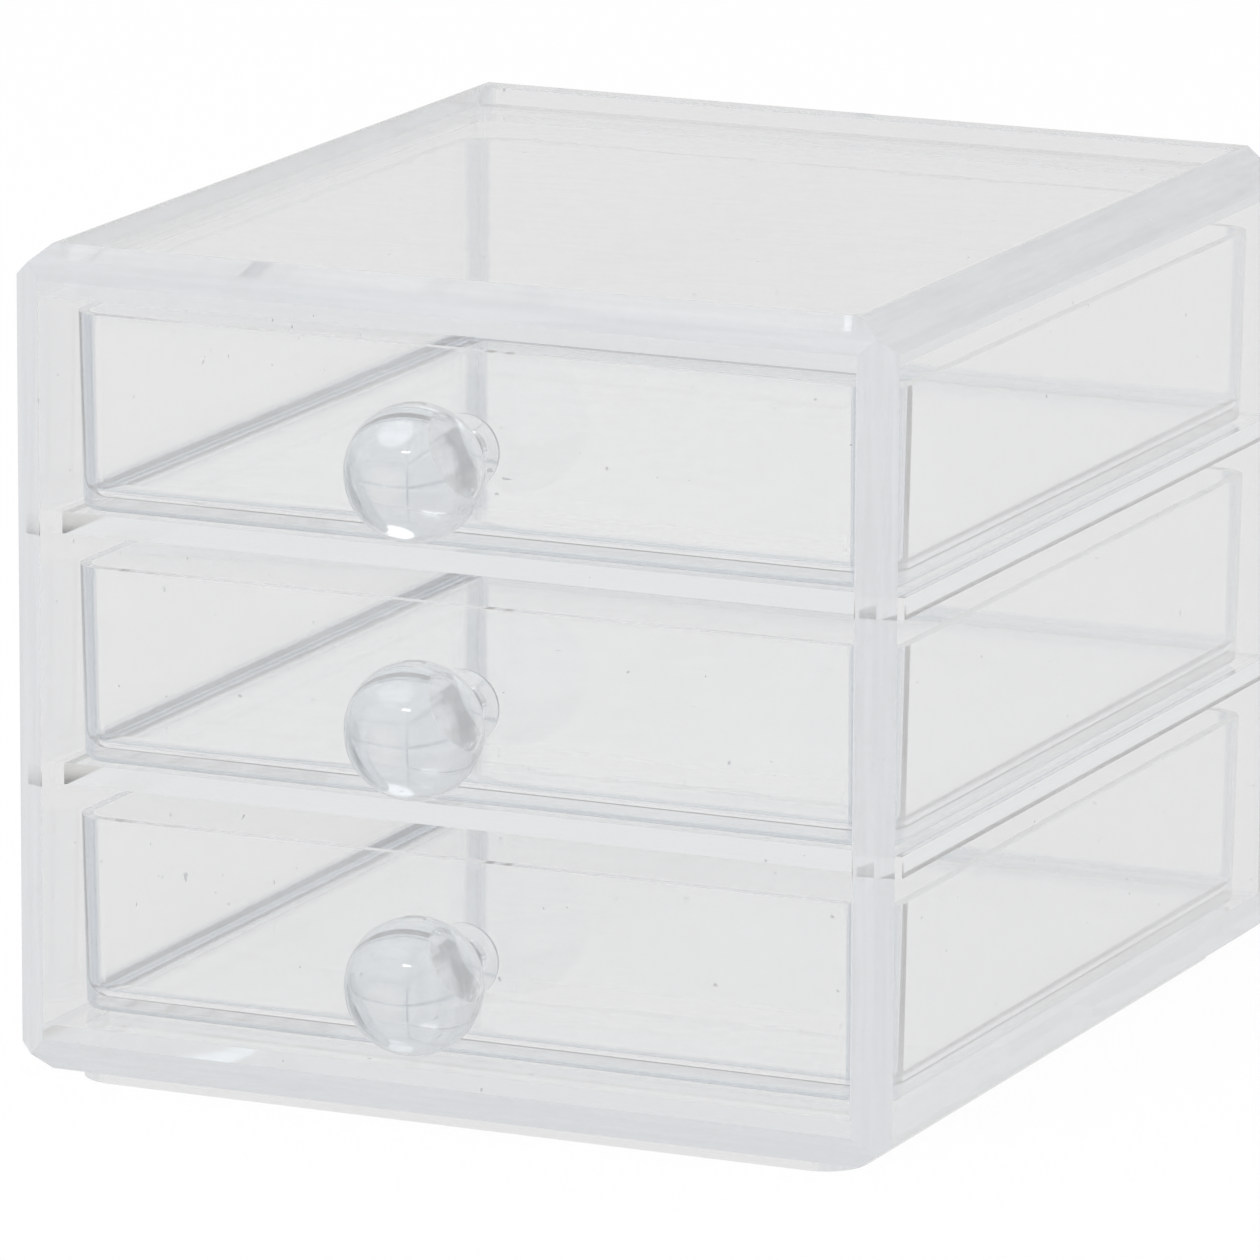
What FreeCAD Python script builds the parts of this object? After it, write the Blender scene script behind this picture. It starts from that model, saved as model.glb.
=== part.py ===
"""Clear acrylic organiser with three ball-knob drawers, as a parametric FreeCAD document.

The case is one thick shell, open at the front, with a bevelled front frame, a chamfer along each
long edge and a shallow recess in its top. A plinth under it fits the recess of a second case, so
that cases stack. Two shelves slide into grooves in the side walls from behind, and the back panel
then closes the shell. Each drawer is a thin moulded tray: rounded upright corners, walls that lean
outwards by the mould's draft, a crisp foot outside and a large radius along the floor inside. A
ball knob is bonded into its front by a stud.

Millimetres, +X to the right, +Y to the rear, +Z up. Each body is drawn about the middle of the
case's front plane at the height of the table. Its Placement then moves it back, so that the
origin lies under the middle of the whole object, knobs included.
"""
import FreeCAD, Part
import Sketcher
import math
import os

from FreeCAD import Vector

doc = FreeCAD.newDocument("drawer_organiser")

# ---------------------------------------------------------------- driving dimensions
# name: value in mm (degrees for the draft)
SIZES = {
    # case
    "case_width": 165.0,
    "case_depth": 180.8,
    "case_height": 148.5,
    "side_wall": 6.2,
    "floor_top": 10.9,
    "roof": 8.8,
    "bevel_width": 6.0,
    "bevel_depth": 3.9,
    "top_chamfer_width": 7.1,
    "top_chamfer_height": 6.0,
    "low_chamfer_width": 6.0,
    "low_chamfer_height": 4.3,
    "rear_chamfer": 1.0,
    "bond_gap": 0.05,
    # stacking recess and plinth
    "recess_depth": 3.3,
    "recess_side_inset": 7.6,
    "recess_end_inset": 4.3,
    "recess_corner": 3.0,
    "plinth_height": 2.0,
    "plinth_corner": 8.0,
    "stacking_clearance": 0.8,
    # back panel and shelves
    "back_thickness": 3.0,
    "shelf_thickness": 3.8,
    "shelf_front": 9.4,
    "shelf_tongue": 4.2,
    "groove_clearance": 0.1,
    "groove_lead": 1.0,
    # drawers
    "drawer_front": 9.6,
    "headroom": 5.7,
    "top_headroom": 4.5,
    "drawer_side_clearance": 0.4,
    "drawer_lift": 0.3,
    "drawer_rear_gap": 5.4,
    "drawer_wall": 1.9,
    "drawer_floor": 2.1,
    "drawer_draft": 1.2,
    "drawer_corner": 6.0,
    "drawer_foot_radius": 1.5,
    "drawer_inner_radius": 3.1,
    # knobs
    "knob_diameter": 24.0,
    "knob_stand_off": 20.0,
    "knob_neck": 9.0,
    "knob_base": 13.0,
    "knob_base_height": 2.4,
    "gate_flat": 4.4,
    "stud_diameter": 5.0,
    "stud_clearance": 0.05,
}

# name: formula over the names above, for sizes that follow from others
FORMULAS = {
    "opening_width": "case_width - 2 * side_wall",
    "ceiling": "case_height - roof",
    "shelf_room": "2 * (headroom + shelf_thickness) + top_headroom + 3 * drawer_lift",
    "drawer_height": "(ceiling - floor_top - shelf_room) / 3",
    "level_pitch": "drawer_lift + drawer_height + headroom + shelf_thickness",
    "knob_reach": "knob_stand_off + knob_diameter / 2 - drawer_front",
    "front_y": "-(case_depth - knob_reach) / 2",
    "plinth_width": "case_width - 2 * (recess_side_inset + stacking_clearance)",
    "plinth_inset": "recess_end_inset + stacking_clearance",
    "drawer_width": "opening_width - 2 * drawer_side_clearance",
    "drawer_rear": "case_depth - back_thickness - drawer_rear_gap",
    # the drafted front leans back below its rim: the knob's seat just touches it at its upper edge
    "knob_seat": "drawer_front + (drawer_height - knob_height - knob_base / 2)"
                 " * tan(drawer_draft) - bond_gap",
    "knob_height": "drawer_height / 2",
}

sheet = doc.addObject("Spreadsheet::Sheet", "sizes")


def fill_sheet():
    """Writes every driving dimension and formula to the sheet, one aliased cell each."""
    row = 1
    for name, value in SIZES.items():
        sheet.set(f"A{row}", name)
        sheet.set(f"B{row}", str(value))
        sheet.setAlias(f"B{row}", name)
        row += 1
    for name, formula in FORMULAS.items():
        sheet.set(f"A{row}", name)
        sheet.set(f"B{row}", "=" + formula)
        sheet.setAlias(f"B{row}", name)
        row += 1
    doc.recompute()


def cells(formula):
    """Turns the sheet's names in a formula into references to the sheet."""
    for name in sorted([*SIZES, *FORMULAS], key=len, reverse=True):
        formula = formula.replace(name, "§" + str([*SIZES, *FORMULAS].index(name)) + "§")
    for index, name in enumerate([*SIZES, *FORMULAS]):
        formula = formula.replace(f"§{index}§", "sizes." + name)
    return formula


# ---------------------------------------------------------------- bodies and sketches
# what an outline is drawn with before its own dimensions settle it
ROUGH_RADIUS = 2.0
ROUGH_REACH = 50.0


def new_body(label, height="0"):
    """A PartDesign body whose Placement puts its drawing in the object's frame."""
    body = doc.addObject("PartDesign::Body", label)
    body.Label = label
    body.setExpression("Placement.Base.y", cells("front_y"))
    body.setExpression("Placement.Base.z", cells(height))
    return body


def new_sketch(body, name, plane, offset="0"):
    """A sketch on one of the body's own origin planes, moved along the plane's normal.

    On XZ_Plane the offset is a distance to the rear, on XY_Plane a height.
    """
    sketch = body.newObject("Sketcher::SketchObject", f"{body.Name}_{name}")
    support = next(item for item in body.Origin.OriginFeatures if item.Role == plane)
    sketch.AttachmentSupport = [(support, "")]
    sketch.MapMode = "FlatFace"
    sign = "-" if plane == "XZ_Plane" else ""
    sketch.setExpression("AttachmentOffset.Base.z", f"{sign}({cells(offset)})")
    return sketch


def bind(sketch, constraint, formula):
    """Adds a dimension to a sketch and binds it to the sheet."""
    index = sketch.addConstraint(constraint)
    sketch.setExpression(f"Constraints[{index}]", cells(formula))


def rectangle(sketch, width, low, high, corner=None):
    """A rectangle about the sketch's vertical axis, from one height to another.

    Its corners are rounded where a radius is given.
    """
    step = ROUGH_RADIUS if corner else 0.0
    reach = 10.0 + 10.0 * sketch.GeometryCount
    left, right, bottom, top = -reach, reach, reach, reach + 20.0
    corners = [Vector(left, bottom), Vector(right, bottom), Vector(right, top), Vector(left, top)]
    first = sketch.GeometryCount
    for index in range(4):
        start = corners[index]
        end = corners[(index + 1) % 4]
        along = Vector(end - start).normalize() * step
        sketch.addGeometry(Part.LineSegment(start + along, end - along), False)
    for index, kind in ((1, "Vertical"), (2, "Horizontal"), (3, "Vertical")):
        sketch.addConstraint(Sketcher.Constraint(kind, first + index))
    if corner:
        add_corner_arcs(sketch, first, corners, corner)
    else:
        for index in range(4):
            after = first + (index + 1) % 4
            sketch.addConstraint(Sketcher.Constraint("Coincident", first + index, 2, after, 1))
    sketch.addConstraint(Sketcher.Constraint("Symmetric", first, 1, first, 2, -2))
    # the left and right sides' distance, the lower side's height and the upper side's
    bind(sketch, Sketcher.Constraint("DistanceX", first + 3, 1, first + 1, 1, 1.0), width)
    bind(sketch, Sketcher.Constraint("DistanceY", -1, 1, first, 1, 1.0), low)
    bind(sketch, Sketcher.Constraint("DistanceY", -1, 1, first + 2, 1, 2.0), high)


def add_corner_arcs(sketch, first, corners, radius):
    """Joins four sides by tangent arcs; they count from the lower left, anticlockwise."""
    middle = (corners[0] + corners[2]) / 2
    arcs = []
    for index, corner in enumerate(corners):
        inwards_x = math.copysign(ROUGH_RADIUS, middle.x - corner.x)
        inwards_y = math.copysign(ROUGH_RADIUS, middle.y - corner.y)
        start = math.pi + index * math.pi / 2
        centre = corner + Vector(inwards_x, inwards_y)
        circle = Part.Circle(centre, Vector(0, 0, 1), ROUGH_RADIUS)
        arcs.append(sketch.addGeometry(Part.ArcOfCircle(circle, start, start + math.pi / 2), False))
    for index, arc in enumerate(arcs):
        before = first + (index + 3) % 4
        sketch.addConstraint(Sketcher.Constraint("Tangent", before, 2, arc, 1))
        sketch.addConstraint(Sketcher.Constraint("Tangent", arc, 2, first + index, 1))
    for arc in arcs[1:]:
        sketch.addConstraint(Sketcher.Constraint("Equal", arcs[0], arc))
    bind(sketch, Sketcher.Constraint("Radius", arcs[0], ROUGH_RADIUS), radius)


def polygon(sketch, points):
    """A closed outline from points, each a pair of formulas that give its distances from the origin.

    A formula that starts with a minus sign puts the point on the negative side.
    """
    first = sketch.GeometryCount
    rough = []
    for index, (x, y) in enumerate(points):
        angle = 2 * math.pi * index / len(points)
        side = -1 if x.startswith("-") else 1
        centre = Vector(side * ROUGH_REACH, ROUGH_REACH)
        rough.append(centre + Vector(math.cos(angle), math.sin(angle)) * ROUGH_RADIUS)
    count = len(points)
    for index in range(count):
        line = Part.LineSegment(rough[index], rough[(index + 1) % count])
        sketch.addGeometry(line, False)
    for index in range(count):
        after = first + (index + 1) % count
        sketch.addConstraint(Sketcher.Constraint("Coincident", first + index, 2, after, 1))
    for index, (x, y) in enumerate(points):
        line = first + index
        for kind, formula in (("DistanceX", x), ("DistanceY", y)):
            if formula.startswith("-"):
                bind(sketch, Sketcher.Constraint(kind, line, 1, -1, 1, ROUGH_REACH), formula[1:])
            else:
                bind(sketch, Sketcher.Constraint(kind, -1, 1, line, 1, ROUGH_REACH), formula)


# ---------------------------------------------------------------- features
def pad(body, sketch, length, backwards=False, taper=None):
    """Extrudes a sketch along its normal, or the other way."""
    feature = body.newObject("PartDesign::Pad", sketch.Name + "_pad")
    feature.Profile = sketch
    feature.setExpression("Length", cells(length))
    feature.Reversed = backwards
    if taper:
        feature.setExpression("TaperAngle", cells(taper))
    return finish(body, feature, grows=True)


def pocket(body, sketch, depth, taper=None):
    """Cuts a sketch into the solid, to a depth or, with no depth, right through."""
    feature = body.newObject("PartDesign::Pocket", sketch.Name + "_cut")
    feature.Profile = sketch
    if depth:
        feature.setExpression("Length", cells(depth))
    else:
        feature.Type = "ThroughAll"
    if taper:
        feature.setExpression("TaperAngle", cells(taper))
    return finish(body, feature, grows=False)


def loft(body, first, last):
    """A straight-sided solid between two sketches."""
    feature = body.newObject("PartDesign::AdditiveLoft", first.Name + "_loft")
    feature.Profile = first
    feature.Sections = [last]
    feature.Ruled = True
    return finish(body, feature, grows=True)


def soften(body, kind, name, size, wanted):
    """A fillet or chamfer on each edge of the tip whose middle point and bounds are wanted."""
    tip = body.Tip
    names = []
    for index, edge in enumerate(tip.Shape.Edges):
        if wanted(edge):
            names.append(f"Edge{index + 1}")
    if not names:
        raise RuntimeError(f"{body.Label}: no edges for {name}")
    feature = body.newObject(f"PartDesign::{kind}", f"{body.Name}_{name}")
    feature.Base = (tip, names)
    prop = "Radius" if kind == "Fillet" else "Size"
    feature.setExpression(prop, cells(size))
    return finish(body, feature, grows=None)


def finish(body, feature, grows):
    """Recomputes, makes the feature the tip and proves that it changed the solid."""
    before = body.Shape.Volume if body.Shape and not body.Shape.isNull() else 0.0
    body.Tip = feature
    doc.recompute()
    for item in body.Group:
        if item.TypeId == "Sketcher::SketchObject":
            item.Visibility = False
    after = feature.Shape.Volume
    if "Invalid" in feature.State or feature.Shape.isNull():
        raise RuntimeError(f"{feature.Name} failed: {feature.State}")
    changed = after - before
    if grows is True and changed <= 0.01 or grows is False and changed >= -0.01:
        raise RuntimeError(f"{feature.Name} left the volume at {after:.2f}, {before:.2f} before")
    return feature


def lies_at(shape, axis, value, tolerance=0.02):
    """Whether a whole edge or face lies in the plane axis = value of the body's own drawing."""
    box = shape.BoundBox
    low = getattr(box, axis + "Min")
    high = getattr(box, axis + "Max")
    return abs(low - value) < tolerance and abs(high - value) < tolerance


def size(name):
    """A sheet value in millimetres, for choosing edges."""
    return float(getattr(sheet, name))


# ---------------------------------------------------------------- the case
def make_case():
    """The thick clear shell: bevelled front frame, chamfered long edges, recess, shelf grooves."""
    body = new_body("case_shell")

    face = new_sketch(body, "front_face", "XZ_Plane")
    rectangle(face, "case_width - 2 * bevel_width", "plinth_height + bevel_width",
              "case_height - bevel_width")
    outline = new_sketch(body, "outline", "XZ_Plane", "bevel_depth")
    rectangle(outline, "case_width", "plinth_height", "case_height")
    loft(body, face, outline)

    block = new_sketch(body, "block", "XZ_Plane", "bevel_depth")
    rectangle(block, "case_width", "plinth_height", "case_height")
    pad(body, block, "case_depth - bevel_depth", backwards=True)

    corners = new_sketch(body, "long_edges", "XZ_Plane")
    for sign in ("", "-"):
        side = sign + "(case_width / 2 + 1)"
        upper = sign + "(case_width / 2 - top_chamfer_width * (1 + 1 / top_chamfer_height))"
        lower = sign + "(case_width / 2 - low_chamfer_width * (1 + 1 / low_chamfer_height))"
        drop = "case_height - top_chamfer_height * (1 + 1 / top_chamfer_width)"
        rise = "plinth_height + low_chamfer_height * (1 + 1 / low_chamfer_width)"
        over = "case_height + 1"
        under = "plinth_height - 1"
        polygon(corners, [(side, over), (upper, over), (side, drop)])
        polygon(corners, [(side, under), (lower, under), (side, rise)])
    pocket(body, corners, None)

    opening = new_sketch(body, "opening", "XZ_Plane")
    rectangle(opening, "opening_width", "floor_top", "ceiling")
    pocket(body, opening, None)

    recess = new_sketch(body, "recess", "XY_Plane", "case_height")
    rectangle(recess, "case_width - 2 * recess_side_inset", "recess_end_inset",
              "case_depth - recess_end_inset", "recess_corner")
    pocket(body, recess, "recess_depth")

    grooves = new_sketch(body, "grooves", "XZ_Plane", "shelf_front - groove_lead")
    for level in (1, 2):
        top = f"floor_top + {level} * level_pitch"
        rectangle(grooves, "opening_width + 2 * (shelf_tongue + groove_clearance)",
                  top + " - shelf_thickness", top + " + groove_clearance")
    pocket(body, grooves, None)

    depth = size("case_depth")
    half = size("opening_width") / 2 + size("shelf_tongue") + size("groove_clearance")

    def rear_outline(edge):
        box = edge.BoundBox
        inside = box.XMin > -half - 0.1 and box.XMax < half + 0.1
        inside = inside and box.ZMin > size("floor_top") - 0.1 and box.ZMax < size("ceiling") + 0.1
        return lies_at(edge, "Y", depth) and not inside

    soften(body, "Chamfer", "rear_edges", "rear_chamfer", rear_outline)
    return body


def make_back_panel():
    """The plain panel that closes the rear of the shell, bonded inside the opening."""
    body = new_body("back_panel")
    outline = new_sketch(body, "outline", "XZ_Plane", "case_depth - back_thickness")
    rectangle(outline, "opening_width - 2 * bond_gap", "floor_top + bond_gap",
              "ceiling - bond_gap")
    pad(body, outline, "back_thickness", backwards=True)
    return body


def make_shelf(label, level):
    """A shelf with a tongue along each side, notched at the rear for the back panel."""
    body = new_body(label, f"floor_top + {level} * level_pitch - shelf_thickness")
    plate = new_sketch(body, "plate", "XY_Plane")
    rectangle(plate, "opening_width + 2 * shelf_tongue", "shelf_front", "case_depth")
    pad(body, plate, "shelf_thickness")
    notch = new_sketch(body, "rear_notch", "XY_Plane", "shelf_thickness")
    rectangle(notch, "opening_width", "case_depth - back_thickness - bond_gap", "case_depth + 1")
    pocket(body, notch, None)
    return body


def make_plinth():
    """The plate under the case that sits in the recess of a case below."""
    body = new_body("stacking_plinth")
    outline = new_sketch(body, "outline", "XY_Plane")
    rectangle(outline, "plinth_width", "plinth_inset", "case_depth - plinth_inset",
              "plinth_corner")
    pad(body, outline, "plinth_height - bond_gap")
    return body


# ---------------------------------------------------------------- the drawers
def make_drawer(label, level):
    """A moulded tray, wider at its rim, with rounded upright corners and a hole for its knob."""
    body = new_body(label, f"floor_top + {level} * level_pitch + drawer_lift")

    rim = new_sketch(body, "rim", "XY_Plane", "drawer_height")
    rectangle(rim, "drawer_width", "drawer_front", "drawer_rear", "drawer_corner")
    pad(body, rim, "drawer_height", backwards=True, taper="-drawer_draft")
    soften(body, "Fillet", "foot", "drawer_foot_radius", lambda edge: lies_at(edge, "Z", 0.0))

    cavity = new_sketch(body, "cavity", "XY_Plane", "drawer_height")
    rectangle(cavity, "drawer_width - 2 * drawer_wall", "drawer_front + drawer_wall",
              "drawer_rear - drawer_wall", "drawer_corner - drawer_wall")
    pocket(body, cavity, "drawer_height - drawer_floor", taper="-drawer_draft")
    soften(body, "Fillet", "cavity_foot", "drawer_inner_radius",
           lambda edge: lies_at(edge, "Z", size("drawer_floor")))

    bore = new_sketch(body, "stud_bore", "XZ_Plane", "drawer_front - 1")
    circle(bore, "stud_diameter + 2 * stud_clearance", "knob_height")
    pocket(body, bore, "drawer_wall + 3")
    return body


def circle(sketch, diameter, height):
    """A circle on the sketch's vertical axis."""
    rough = Part.Circle(Vector(0, ROUGH_REACH, 0), Vector(0, 0, 1), ROUGH_RADIUS)
    index = sketch.addGeometry(rough, False)
    sketch.addConstraint(Sketcher.Constraint("PointOnObject", index, 3, -2))
    bind(sketch, Sketcher.Constraint("DistanceY", -1, 1, index, 3, ROUGH_REACH), height)
    bind(sketch, Sketcher.Constraint("Diameter", index, 2 * ROUGH_RADIUS), diameter)


# ---------------------------------------------------------------- the knobs
def make_knob(label, level):
    """A ball on a short neck that flares to a base, with the stud that is bonded in the tray."""
    height = f"floor_top + {level} * level_pitch + drawer_lift + knob_height"
    body = new_body(label, height)
    profile = new_sketch(body, "profile", "YZ_Plane")
    draw_knob_profile(profile)
    turned = body.newObject("PartDesign::Revolution", body.Name + "_turned")
    turned.Profile = profile
    turned.ReferenceAxis = (profile, ["H_Axis"])
    turned.Angle = 360.0
    finish(body, turned, grows=True)

    # the mould's gate is cut off flush: a small flat on top of the ball
    gate = new_sketch(body, "gate", "YZ_Plane")
    low = "sqrt(knob_diameter ^ 2 - gate_flat ^ 2) / 2"
    high = "knob_diameter / 2 + 1"
    polygon(gate, [("-knob_reach", low), ("-(knob_reach - knob_diameter)", low),
                   ("-(knob_reach - knob_diameter)", high), ("-knob_reach", high)])
    flat = body.newObject("PartDesign::Pocket", body.Name + "_gate_flat")
    flat.Profile = gate
    flat.Type = "ThroughAll"
    flat.Midplane = True
    finish(body, flat, grows=False)
    return body


def draw_knob_profile(sketch):
    """Half of the knob's section: x to the rear from the case's front plane, y off the axis."""
    ball = size("knob_diameter") / 2
    neck = size("knob_neck") / 2
    centre = size("drawer_front") - size("knob_stand_off")
    seat = size("knob_seat")
    base = size("knob_base") / 2
    rise = size("knob_base_height")
    stud = size("stud_diameter") / 2
    end = seat + size("drawer_wall")
    join = centre + math.sqrt(ball ** 2 - neck ** 2)
    angle = math.asin(neck / ball)

    points = [(join, neck), (seat - rise, neck), (seat - 0.6, base), (seat, base), (seat, stud),
              (end, stud), (end, 0.0), (centre - ball, 0.0)]
    lines = []
    for start, stop in zip(points, points[1:]):
        line = Part.LineSegment(Vector(*start, 0), Vector(*stop, 0))
        lines.append(sketch.addGeometry(line, False))
    ring = Part.Circle(Vector(centre, 0, 0), Vector(0, 0, 1), ball)
    arc = sketch.addGeometry(Part.ArcOfCircle(ring, angle, math.pi), False)

    for first, second in zip(lines, lines[1:]):
        sketch.addConstraint(Sketcher.Constraint("Coincident", first, 2, second, 1))
    sketch.addConstraint(Sketcher.Constraint("Coincident", lines[-1], 2, arc, 2))
    sketch.addConstraint(Sketcher.Constraint("Coincident", arc, 1, lines[0], 1))
    sketch.addConstraint(Sketcher.Constraint("PointOnObject", arc, 3, -1))
    sketch.addConstraint(Sketcher.Constraint("PointOnObject", lines[-1], 1, -1))
    sketch.addConstraint(Sketcher.Constraint("PointOnObject", lines[-1], 2, -1))
    for index in (0, 2, 4):
        sketch.addConstraint(Sketcher.Constraint("Horizontal", lines[index]))
    for index in (3, 5):
        sketch.addConstraint(Sketcher.Constraint("Vertical", lines[index]))
    bind(sketch, Sketcher.Constraint("Radius", arc, ball), "knob_diameter / 2")
    bind(sketch, Sketcher.Constraint("DistanceX", arc, 3, -1, 1, -centre),
         "knob_stand_off - drawer_front")
    bind(sketch, Sketcher.Constraint("DistanceY", -1, 1, lines[0], 2, neck), "knob_neck / 2")
    bind(sketch, Sketcher.Constraint("DistanceX", lines[0], 2, lines[2], 2, rise),
         "knob_base_height")
    bind(sketch, Sketcher.Constraint("DistanceX", lines[2], 1, lines[2], 2, 0.6),
         "knob_base_height / 4")
    bind(sketch, Sketcher.Constraint("DistanceY", -1, 1, lines[2], 2, base), "knob_base / 2")
    bind(sketch, Sketcher.Constraint("DistanceX", -1, 1, lines[2], 2, seat),
         "knob_seat")
    bind(sketch, Sketcher.Constraint("DistanceY", -1, 1, lines[4], 2, stud), "stud_diameter / 2")
    bind(sketch, Sketcher.Constraint("DistanceX", -1, 1, lines[4], 2, end),
         "knob_seat + drawer_wall")


# ---------------------------------------------------------------- assembly and output
fill_sheet()

LEVELS = {"bottom": 0, "middle": 1, "top": 2}

parts = [make_case(), make_back_panel(), make_plinth()]
parts.append(make_shelf("lower_shelf", 1))
parts.append(make_shelf("upper_shelf", 2))
for place, number in LEVELS.items():
    parts.append(make_drawer(f"{place}_drawer", number))
    parts.append(make_knob(f"{place}_knob", number))

doc.recompute()
for item in doc.Objects:
    if "Invalid" in item.State or "Error" in item.State:
        raise RuntimeError(f"{item.Name}: {item.State}")
for item in parts:
    if item.Shape.isNull() or not item.Shape.isValid() or len(item.Shape.Solids) != 1:
        raise RuntimeError(f"{item.Label}: not one valid solid")

os.makedirs("parts", exist_ok=True)
for item in parts:
    item.Shape.exportStep(f"parts/{item.Label}.step")
    box = item.Shape.BoundBox
    print(f"{item.Label:16s} volume {item.Shape.Volume / 1000:8.2f} cm3   "
          f"x {box.XMin:7.2f} {box.XMax:7.2f}   y {box.YMin:7.2f} {box.YMax:7.2f}   "
          f"z {box.ZMin:7.2f} {box.ZMax:7.2f}")
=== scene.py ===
"""Looks for the clear acrylic drawer organiser: materials, light, floor and camera.

Every piece keeps its CAD mesh. The script dresses the pieces in four kinds of clear acrylic, for
the case, the shelves, the trays and the knobs, and sets the stage. The camera sees a white floor
and background. Through the plastic they look a little greyer, and greyer still towards the sides
and above, as in a small photo studio, so that edges and bevels stand out against flat panels.
"""
import math
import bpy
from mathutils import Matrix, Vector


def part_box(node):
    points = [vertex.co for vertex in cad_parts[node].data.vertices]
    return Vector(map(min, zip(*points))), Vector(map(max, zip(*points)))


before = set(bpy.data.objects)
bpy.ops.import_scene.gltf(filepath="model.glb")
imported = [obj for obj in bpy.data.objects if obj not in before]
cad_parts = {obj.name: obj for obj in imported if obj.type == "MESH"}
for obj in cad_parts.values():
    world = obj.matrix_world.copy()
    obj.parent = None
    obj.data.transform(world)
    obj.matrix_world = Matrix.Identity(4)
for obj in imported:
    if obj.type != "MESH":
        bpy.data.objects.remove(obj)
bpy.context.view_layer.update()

from types import SimpleNamespace

import bpy
from mathutils import Matrix, Vector

CASE_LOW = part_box("case_shell")[0]

# ---------------------------------------------------------------- the plastic
ACRYLIC_IOR = 1.49
# colour by depth: a kind's density times what the tint lacks to 1 is lost per metre
ACRYLIC_TINT = (0.70, 0.72, 0.74)
# what each surface lets through of the light that falls on matt things
SHADOW_TINT = (0.99, 0.99, 0.99)

# Each kind of acrylic has:
#   density       how dense the tint is
#   painted_glow  a painted glow inside, emission that stands in for light scattered in the plastic:
#   the colour that light settles at on a very long way
#   clarity       the share of light that passes a flat outer surface; the rest is a milky haze
#   edge_clarity  the same for bevels, chamfers and rounded corners
#   edge_colour   the colour of the haze on those
#   edge_lumps    the height of the fine lumps on those, in metres
#   speck_level   how high the fine noise, from 0 to 1, has to be where dust sits
SPECK_LEVEL = 0.885
NO_SPECKS = 1.0
CASE = SimpleNamespace(
    name="clear_acrylic", density=34.0, painted_glow=(0.70, 0.715, 0.73), clarity=0.94, edge_clarity=0.6,
    edge_colour=(0.79, 0.80, 0.82), edge_lumps=0.000008, speck_level=SPECK_LEVEL)
SHELVES = SimpleNamespace(
    name="shelf_acrylic", density=200.0, painted_glow=(0.745, 0.76, 0.77), clarity=0.94, edge_clarity=0.6,
    edge_colour=(0.79, 0.80, 0.82), edge_lumps=0.000008, speck_level=SPECK_LEVEL)
TRAYS = SimpleNamespace(
    name="tray_acrylic", density=26.0, painted_glow=(0.68, 0.70, 0.72), clarity=0.94, edge_clarity=0.81,
    edge_colour=(0.72, 0.75, 0.79), edge_lumps=0.00003, speck_level=SPECK_LEVEL)
KNOBS = SimpleNamespace(
    name="knob_acrylic", density=12.0, painted_glow=(0.50, 0.53, 0.56), clarity=0.97, edge_clarity=0.97,
    edge_colour=(0.91, 0.93, 0.95), edge_lumps=0.00001, speck_level=NO_SPECKS)

FLAT_COLOUR = (1.0, 1.0, 1.0)
SPECK_COLOUR = (0.55, 0.56, 0.57)
# the share of light that a speck of dust stops
SPECK_MILK = 0.5
# how far streaks raise and lower the clarity of edges, and how rough edges are
EDGE_SPREAD = 0.08
EDGE_ROUGHNESS = 0.08
# largest part of a face's normal: above the first it is square to an axis, below the second tilted
SQUARE_FACE = 0.995
TILTED_FACE = 0.95

# the moulding's surface: how many features per metre, and their heights in metres
WAVES_PER_METRE = 60.0
WAVE_HEIGHT = 0.00003
LUMPS_PER_METRE = 260.0
LUMP_HEIGHT = 0.000004
# streaks: features per metre along a face and across it, and their heights
STREAK_LONG = 25.0
STREAK_SHORT = 400.0
STREAK_HEIGHT = 0.000003
EDGE_STREAK_HEIGHT = 0.000008
STREAK_DETAIL = 1.0
# a face whose normal has more than this along X or Y counts as one that looks that way
STREAK_TURN = 0.3
SCUFFS_PER_METRE = 700.0
# effects that noise fades in: the noise levels where each starts and is full, and its strength
STREAK_HAZE_FADE = (0.45, 0.75)
STREAK_HAZE = 0.02
PATCH_HAZE_FADE = (0.4, 0.7)
PATCH_HAZE = 0.015
EDGE_CLARITY_FADE = (0.3, 0.7)
SCUFF_FADE = (0.5, 0.8)
SCUFF_ROUGHNESS = 0.04

# ---------------------------------------------------------------- the stage
FLOOR_REACH = 6.0
# the share of the floor's look that glows where it is seen, and its albedo for the rest
FLOOR_GLOW = 0.9
FLOOR_ALBEDO = 0.95
# how bright the floor's glow is when it is seen by way of the plastic
SEEN_THROUGH = 0.75

# the surround by way of the plastic: brightest away from the camera, greyer at the sides and above
SURROUND_BACK = 0.75
SURROUND_SIDE = 0.50
# cosines between a ray and the camera's heading where the first turns into the second
SURROUND_FADE = (0.1, 0.9)
# the world's level for matt surfaces
WORLD_LIGHT = 0.92
# a soft bright patch of the surround, behind and above, that the knobs and rounded edges gather:
# its rise and its turn to the right of the camera's heading, its outer and inner edge, in degrees
WINDOW_RISE = 38.0
WINDOW_TURN = 14.0
WINDOW_REACH = 13.0
WINDOW_CORE = 10.0
WINDOW_LIGHT = 1.0

# lamps: place and target in metres, width and depth in metres, power in watts
KEY_PLACE = (-0.5, -0.9, 1.5)
KEY_TARGET = (0, 0, 0.07)
KEY_SIZE = (0.8, 0.8)
KEY_POWER = 4.0
STRIP_PLACE = (0.16, -1.18, 1.21)
STRIP_TARGET = (0, -0.09, 0.07)
STRIP_SIZE = (0.36, 0.09)
STRIP_POWER = 1.6

# the camera: the place and angles fitted to the object's edges, for a 1260-pixel frame
FRAME_PIXELS = 1260
FOCAL_PIXELS = 11464.22
CAMERA_YAW = 24.37
CAMERA_PITCH = 12.74
CAMERA_ROLL = 0.24
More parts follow.
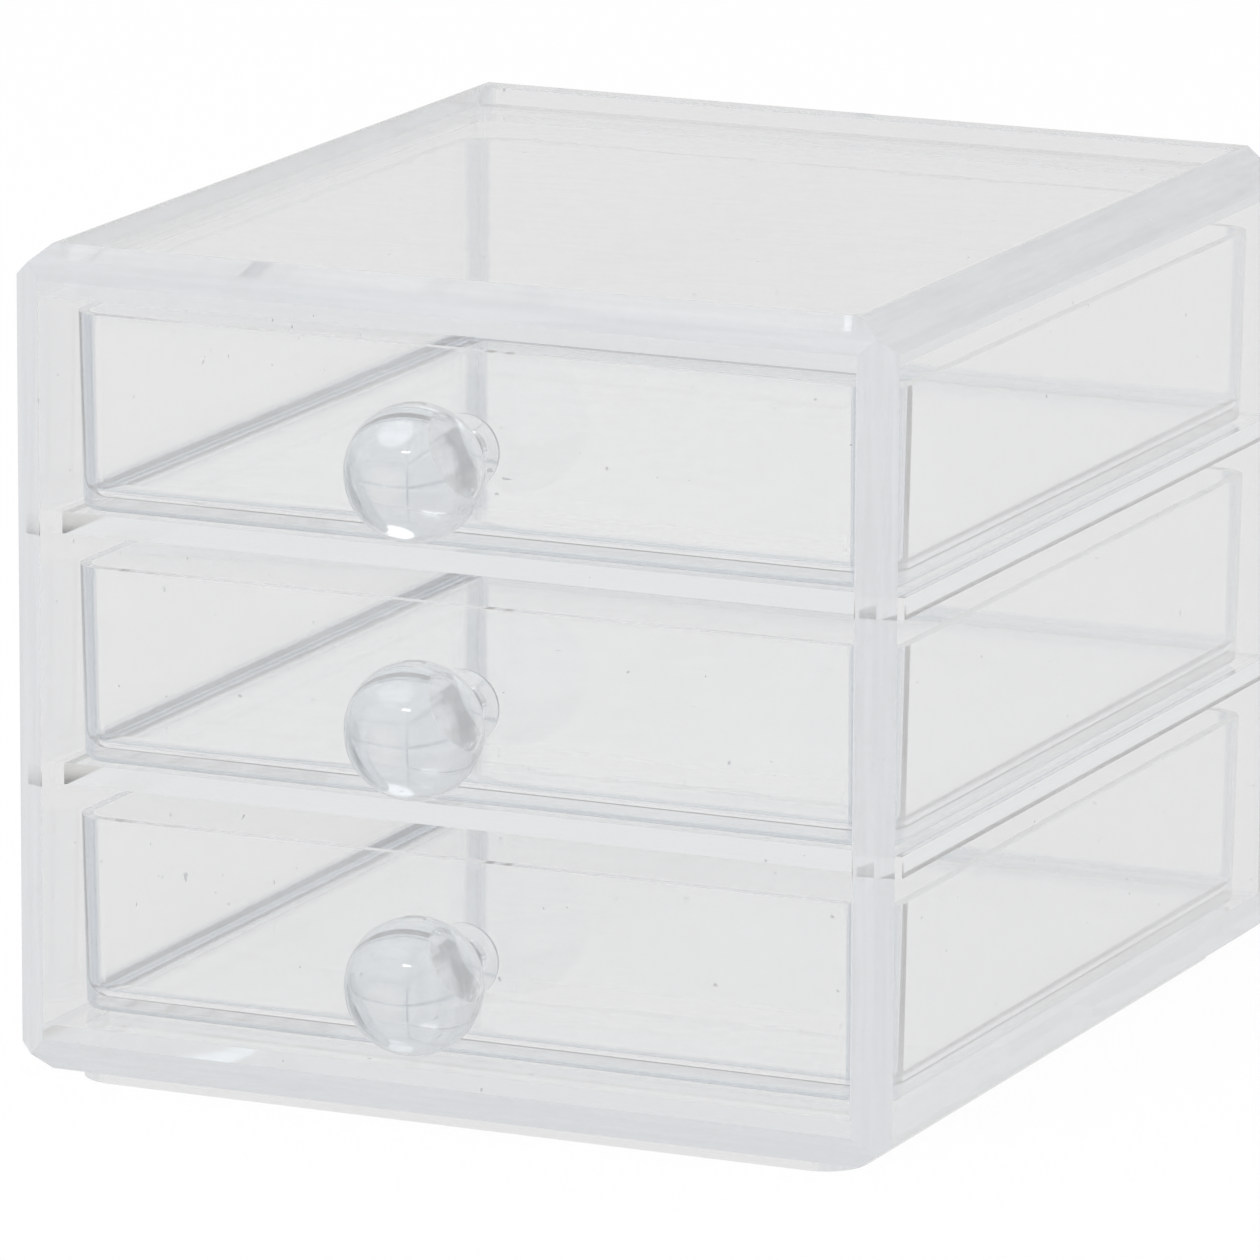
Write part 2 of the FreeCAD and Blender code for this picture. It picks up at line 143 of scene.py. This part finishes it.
# from the case's front lower left corner on the table, in metres
CAMERA_FROM_CORNER = Vector((0.89479, -1.71526, 0.51769))
SENSOR_WIDTH = 36.0
FARTHEST_SEEN = 50.0

# bounces for a ray to cross every wall, shelf and tray
MOST_BOUNCES = 28
BENT_BOUNCES = 26
MIRRORED_BOUNCES = 26
SHADOW_LAYERS = 32


# ---------------------------------------------------------------- node helpers
def new_material(name):
    """A material with an empty tree and its output node."""
    material = bpy.data.materials.new(name)
    material.use_nodes = True
    tree = material.node_tree
    tree.nodes.clear()
    return material, tree, tree.nodes.new("ShaderNodeOutputMaterial")


def link_or_set(tree, value, socket):
    """Links an output to a socket, or sets a plain number there."""
    if isinstance(value, (int, float)):
        socket.default_value = value
    else:
        tree.links.new(value, socket)


def maths(tree, operation, first, second):
    """A Math node over two outputs or numbers; gives its output."""
    node = tree.nodes.new("ShaderNodeMath")
    node.operation = operation
    link_or_set(tree, first, node.inputs[0])
    link_or_set(tree, second, node.inputs[1])
    return node.outputs[0]


def grade(tree, value, low, high, to_low, to_high):
    """A smooth step of one value into another range."""
    node = tree.nodes.new("ShaderNodeMapRange")
    node.interpolation_type = "SMOOTHSTEP"
    tree.links.new(value, node.inputs["Value"])
    link_or_set(tree, low, node.inputs["From Min"])
    link_or_set(tree, high, node.inputs["From Max"])
    link_or_set(tree, to_low, node.inputs["To Min"])
    link_or_set(tree, to_high, node.inputs["To Max"])
    return node.outputs[0]


def blend_values(tree, share, first, second):
    """The first value where share is 0 and the second where it is 1."""
    return grade(tree, share, 0.0, 1.0, first, second)


def blend_colours(tree, share, first, second):
    """The first colour, plain or linked, where share is 0; the second, plain, where it is 1."""
    node = tree.nodes.new("ShaderNodeMix")
    node.data_type = "RGBA"
    tree.links.new(share, node.inputs["Factor"])
    if isinstance(first, tuple):
        node.inputs["A"].default_value = (*first, 1.0)
    else:
        tree.links.new(first, node.inputs["A"])
    node.inputs["B"].default_value = (*second, 1.0)
    return node.outputs["Result"]


def noise(tree, per_metre, detail=0.0):
    """Noise over the object's own coordinates; per_metre is a number or a vector output."""
    place = tree.nodes.new("ShaderNodeTexCoord")
    stretch = tree.nodes.new("ShaderNodeVectorMath")
    stretch.operation = "MULTIPLY"
    tree.links.new(place.outputs["Object"], stretch.inputs[0])
    if isinstance(per_metre, float):
        stretch.inputs[1].default_value = (per_metre, per_metre, per_metre)
    else:
        tree.links.new(per_metre, stretch.inputs[1])
    node = tree.nodes.new("ShaderNodeTexNoise")
    node.inputs["Scale"].default_value = 1.0
    node.inputs["Detail"].default_value = detail
    tree.links.new(stretch.outputs[0], node.inputs["Vector"])
    return node.outputs[0]


def direction_match(tree, direction):
    """The dot product of a world ray's direction with a fixed one."""
    place = tree.nodes.new("ShaderNodeTexCoord")
    node = tree.nodes.new("ShaderNodeVectorMath")
    node.operation = "DOT_PRODUCT"
    node.inputs[1].default_value = direction
    tree.links.new(place.outputs["Generated"], node.inputs[0])
    return node.outputs["Value"]


def mix_shaders(tree, share, first, second):
    """The first shader where share is 0 and the second where it is 1."""
    node = tree.nodes.new("ShaderNodeMixShader")
    tree.links.new(share, node.inputs[0])
    tree.links.new(first.outputs[0], node.inputs[1])
    tree.links.new(second.outputs[0], node.inputs[2])
    return node.outputs[0]


# ---------------------------------------------------------------- acrylic
def facing(tree):
    """How squarely a face looks along X, Y and Z, each from 0 to 1."""
    geometry = tree.nodes.new("ShaderNodeNewGeometry")
    size = tree.nodes.new("ShaderNodeVectorMath")
    size.operation = "ABSOLUTE"
    tree.links.new(geometry.outputs["True Normal"], size.inputs[0])
    parts = tree.nodes.new("ShaderNodeSeparateXYZ")
    tree.links.new(size.outputs[0], parts.inputs[0])
    return parts.outputs[0], parts.outputs[1], parts.outputs[2]


def tilted_faces(tree, along):
    """1 on bevels, chamfers and rounded corners, 0 on faces square to an axis or only drafted."""
    largest = maths(tree, "MAXIMUM", along[0], along[1])
    largest = maths(tree, "MAXIMUM", largest, along[2])
    return grade(tree, largest, SQUARE_FACE, TILTED_FACE, 0.0, 1.0)


def drawn_streaks(tree, along):
    """Fine streaks that run along each face's own length."""
    to_side = maths(tree, "GREATER_THAN", along[0], STREAK_TURN)
    to_front = maths(tree, "GREATER_THAN", along[1], STREAK_TURN)
    upright = maths(tree, "MULTIPLY", to_side, to_front)
    inward = maths(tree, "SUBTRACT", to_side, upright)
    scale = tree.nodes.new("ShaderNodeCombineXYZ")
    for axis, share in enumerate((maths(tree, "SUBTRACT", 1.0, to_side), inward, upright)):
        tree.links.new(blend_values(tree, share, STREAK_SHORT, STREAK_LONG), scale.inputs[axis])
    return noise(tree, scale.outputs[0], STREAK_DETAIL)


def moulded_relief(tree, tilt, waves, streaks, edge_lumps):
    """The slow waves, finer lumps and drawn streaks of a moulded surface, as a bump."""
    waves = maths(tree, "MULTIPLY", waves, WAVE_HEIGHT)
    lumps = noise(tree, LUMPS_PER_METRE)
    lump_height = blend_values(tree, tilt, LUMP_HEIGHT, edge_lumps)
    lumps = maths(tree, "MULTIPLY", lumps, lump_height)
    streak_height = blend_values(tree, tilt, STREAK_HEIGHT, EDGE_STREAK_HEIGHT)
    drawn = maths(tree, "MULTIPLY", streaks, streak_height)
    height = maths(tree, "ADD", maths(tree, "ADD", waves, lumps), drawn)
    bump = tree.nodes.new("ShaderNodeBump")
    bump.inputs["Distance"].default_value = 1.0
    tree.links.new(height, bump.inputs["Height"])
    return bump.outputs[0]


def clear_share(tree, kind, tilt, waves, streaks, dust):
    """The share of light that passes a surface: less at edges, streaks, patches and dust.

    A ray that meets the surface from inside passes whole or is mirrored whole: a haze there would
    turn black on rays that total reflection traps."""
    streak_haze = grade(tree, streaks, *STREAK_HAZE_FADE, 0.0, STREAK_HAZE)
    patches = grade(tree, waves, *PATCH_HAZE_FADE, 0.0, PATCH_HAZE)
    haze = maths(tree, "ADD", streak_haze, patches)
    edge = grade(tree, streaks, *EDGE_CLARITY_FADE, kind.edge_clarity - EDGE_SPREAD,
                 kind.edge_clarity + EDGE_SPREAD)
    share = blend_values(tree, tilt, kind.clarity, edge)
    share = maths(tree, "SUBTRACT", share, haze)
    share = maths(tree, "SUBTRACT", share, maths(tree, "MULTIPLY", dust, SPECK_MILK))
    inner_side = tree.nodes.new("ShaderNodeNewGeometry").outputs["Backfacing"]
    return maths(tree, "MAXIMUM", share, inner_side)


def inside(tree, kind):
    """The tint by depth, with a painted glow that makes up for it: the plastic emits light,
    standing in for light scattered inside it, at the level of the kind's painted_glow.
    """
    depth = tree.nodes.new("ShaderNodeVolumeAbsorption")
    depth.inputs["Color"].default_value = (*ACRYLIC_TINT, 1.0)
    depth.inputs["Density"].default_value = kind.density
    # painted glow: the plastic itself emits light, as a stand-in for light scattered inside it
    glow = tree.nodes.new("ShaderNodeEmission")
    per_metre = [kind.density * (1.0 - kept) * level
                 for kept, level in zip(ACRYLIC_TINT, kind.painted_glow)]
    strongest = max(per_metre)
    glow.inputs["Color"].default_value = (*(part / strongest for part in per_metre), 1.0)
    glow.inputs["Strength"].default_value = strongest
    both = tree.nodes.new("ShaderNodeAddShader")
    tree.links.new(depth.outputs[0], both.inputs[0])
    tree.links.new(glow.outputs[0], both.inputs[1])
    return both.outputs[0]


def acrylic(kind):
    """Clear plastic: bent light for what is seen, plain light for shadows, a tint by depth with a
    painted glow inside.

    The flat faces are clear with a trace of haze, streaks and dust. Bevels, chamfers and rounded
    corners are milkier, cooler, a little rough and lumpy, as on a moulding whose edges were
    polished by flame."""
    material, tree, output = new_material(kind.name)
    along = facing(tree)
    tilt = tilted_faces(tree, along)
    streaks = drawn_streaks(tree, along)
    waves = noise(tree, WAVES_PER_METRE)
    fine = noise(tree, SCUFFS_PER_METRE)
    dust = maths(tree, "GREATER_THAN", fine, kind.speck_level)
    scuffs = grade(tree, fine, *SCUFF_FADE, 0.0, SCUFF_ROUGHNESS)
    colour = blend_colours(tree, tilt, FLAT_COLOUR, kind.edge_colour)
    relief = moulded_relief(tree, tilt, waves, streaks, kind.edge_lumps)

    plastic = tree.nodes.new("ShaderNodeBsdfPrincipled")
    plastic.inputs["IOR"].default_value = ACRYLIC_IOR
    tree.links.new(clear_share(tree, kind, tilt, waves, streaks, dust),
                   plastic.inputs["Transmission Weight"])
    tree.links.new(blend_values(tree, tilt, scuffs, EDGE_ROUGHNESS), plastic.inputs["Roughness"])
    tree.links.new(blend_colours(tree, dust, colour, SPECK_COLOUR), plastic.inputs["Base Color"])
    tree.links.new(relief, plastic.inputs["Normal"])

    clear = tree.nodes.new("ShaderNodeBsdfTransparent")
    clear.inputs["Color"].default_value = (*SHADOW_TINT, 1.0)
    path = tree.nodes.new("ShaderNodeLightPath")
    plain = maths(tree, "MAXIMUM", path.outputs["Is Shadow Ray"], path.outputs["Is Diffuse Ray"])
    tree.links.new(mix_shaders(tree, plain, plastic, clear), output.inputs["Surface"])
    # the inside: tint by depth plus a painted glow that stands in for scattered light
    tree.links.new(inside(tree, kind), output.inputs["Volume"])
    return material


def dress(nodes, kind):
    """Gives CAD nodes one kind of acrylic."""
    material = acrylic(kind)
    for name in nodes:
        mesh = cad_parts[name].data
        mesh.materials.clear()
        mesh.materials.append(material)


# ---------------------------------------------------------------- stage
def seen_by_plastic(tree):
    """1 for rays that the plastic mirrors or bends; also gives the Light Path node."""
    path = tree.nodes.new("ShaderNodeLightPath")
    bent = maths(tree, "MAXIMUM", path.outputs["Is Glossy Ray"],
                 path.outputs["Is Transmission Ray"])
    return bent, path


def floor_material():
    """White floor that glows where it is seen and still takes the object's shadow."""
    material, tree, output = new_material("studio_floor")
    matt = tree.nodes.new("ShaderNodeBsdfDiffuse")
    matt.inputs["Color"].default_value = (FLOOR_ALBEDO, FLOOR_ALBEDO, FLOOR_ALBEDO, 1.0)
    glow = tree.nodes.new("ShaderNodeEmission")
    glow.inputs["Color"].default_value = (1.0, 1.0, 1.0, 1.0)
    bent, path = seen_by_plastic(tree)
    camera = path.outputs["Is Camera Ray"]
    tree.links.new(maths(tree, "MAXIMUM", camera, SEEN_THROUGH), glow.inputs["Strength"])
    share = maths(tree, "MULTIPLY", maths(tree, "MAXIMUM", camera, bent), FLOOR_GLOW)
    tree.links.new(mix_shaders(tree, share, matt, glow), output.inputs["Surface"])
    return material


def add_floor():
    """A plain floor under the object."""
    mesh = bpy.data.meshes.new("floor")
    r = FLOOR_REACH
    mesh.from_pydata([(-r, -r, 0), (r, -r, 0), (r, r, 0), (-r, r, 0)], [], [(0, 1, 2, 3)])
    mesh.materials.append(floor_material())
    floor = bpy.data.objects.new("floor", mesh)
    bpy.context.scene.collection.objects.link(floor)


def add_world():
    """White to the camera, a soft studio to the plastic, a plain level to everything else."""
    world = bpy.data.worlds.new("studio")
    bpy.context.scene.world = world
    world.use_nodes = True
    tree = world.node_tree
    tree.nodes.clear()
    output = tree.nodes.new("ShaderNodeOutputWorld")
    yaw = math.radians(CAMERA_YAW)
    heading = Vector((-math.sin(yaw), math.cos(yaw), 0.0))
    surround = grade(tree, direction_match(tree, heading), *SURROUND_FADE, SURROUND_SIDE,
                     SURROUND_BACK)
    rise = math.radians(WINDOW_RISE)
    turned = Matrix.Rotation(-math.radians(WINDOW_TURN), 3, "Z") @ heading
    to_window = turned * math.cos(rise) + Vector((0.0, 0.0, math.sin(rise)))
    window = grade(tree, direction_match(tree, to_window), math.cos(math.radians(WINDOW_REACH)),
                   math.cos(math.radians(WINDOW_CORE)), 0.0, WINDOW_LIGHT)
    surround = maths(tree, "ADD", surround, window)
    bent, path = seen_by_plastic(tree)
    to_plastic = maths(tree, "MULTIPLY", bent, surround)
    to_matt = maths(tree, "MULTIPLY", maths(tree, "SUBTRACT", 1.0, bent), WORLD_LIGHT)
    strength = maths(tree, "MAXIMUM", maths(tree, "ADD", to_plastic, to_matt),
                     path.outputs["Is Camera Ray"])
    background = tree.nodes.new("ShaderNodeBackground")
    background.inputs["Color"].default_value = (1.0, 1.0, 1.0, 1.0)
    tree.links.new(strength, background.inputs["Strength"])
    tree.links.new(background.outputs[0], output.inputs["Surface"])


def add_lamp(name, place, target, size, power, mirrored):
    """A soft box that points at a target. The plastic may mirror it, but never shows it through."""
    light = bpy.data.lights.new(name, "AREA")
    light.shape = "RECTANGLE"
    light.size, light.size_y = size
    light.energy = power
    lamp = bpy.data.objects.new(name, light)
    lamp.visible_glossy = mirrored
    lamp.visible_transmission = False
    bpy.context.scene.collection.objects.link(lamp)
    lamp.location = place
    lamp.rotation_euler = (Vector(target) - Vector(place)).to_track_quat("-Z", "Y").to_euler()


def add_camera():
    """The photograph's view: a long lens, to the right of the front and a little above."""
    yaw, pitch, roll = (math.radians(a) for a in (CAMERA_YAW, CAMERA_PITCH, CAMERA_ROLL))
    look = Vector((-math.sin(yaw) * math.cos(pitch), math.cos(yaw) * math.cos(pitch),
                   -math.sin(pitch)))
    level_right = Vector((math.cos(yaw), math.sin(yaw), 0.0))
    level_up = level_right.cross(look)
    right = level_right * math.cos(roll) + level_up * math.sin(roll)
    up = level_up * math.cos(roll) - level_right * math.sin(roll)
    data = bpy.data.cameras.new("camera")
    data.sensor_width = SENSOR_WIDTH
    data.lens = FOCAL_PIXELS * data.sensor_width / FRAME_PIXELS
    data.clip_end = FARTHEST_SEEN
    camera = bpy.data.objects.new("camera", data)
    bpy.context.scene.collection.objects.link(camera)
    matrix = Matrix((right, up, -look)).transposed().to_4x4()
    matrix.translation = Vector((CASE_LOW.x, CASE_LOW.y, 0.0)) + CAMERA_FROM_CORNER
    camera.matrix_world = matrix
    bpy.context.scene.camera = camera


def set_light_paths():
    """Enough bounces for a ray to cross the whole object."""
    cycles = bpy.context.scene.cycles
    cycles.max_bounces = MOST_BOUNCES
    cycles.transmission_bounces = BENT_BOUNCES
    cycles.glossy_bounces = MIRRORED_BOUNCES
    cycles.transparent_max_bounces = SHADOW_LAYERS


# ---------------------------------------------------------------- making the scene
add_camera()
bpy.context.scene.view_settings.view_transform = "Standard"
set_light_paths()

dress(["case_shell", "back_panel", "stacking_plinth"], CASE)
dress(["lower_shelf", "upper_shelf"], SHELVES)
dress(["bottom_drawer", "middle_drawer", "top_drawer"], TRAYS)
dress(["bottom_knob", "middle_knob", "top_knob"], KNOBS)

add_floor()
add_world()
add_lamp("key", KEY_PLACE, KEY_TARGET, KEY_SIZE, KEY_POWER, mirrored=False)
add_lamp("strip", STRIP_PLACE, STRIP_TARGET, STRIP_SIZE, STRIP_POWER, mirrored=True)
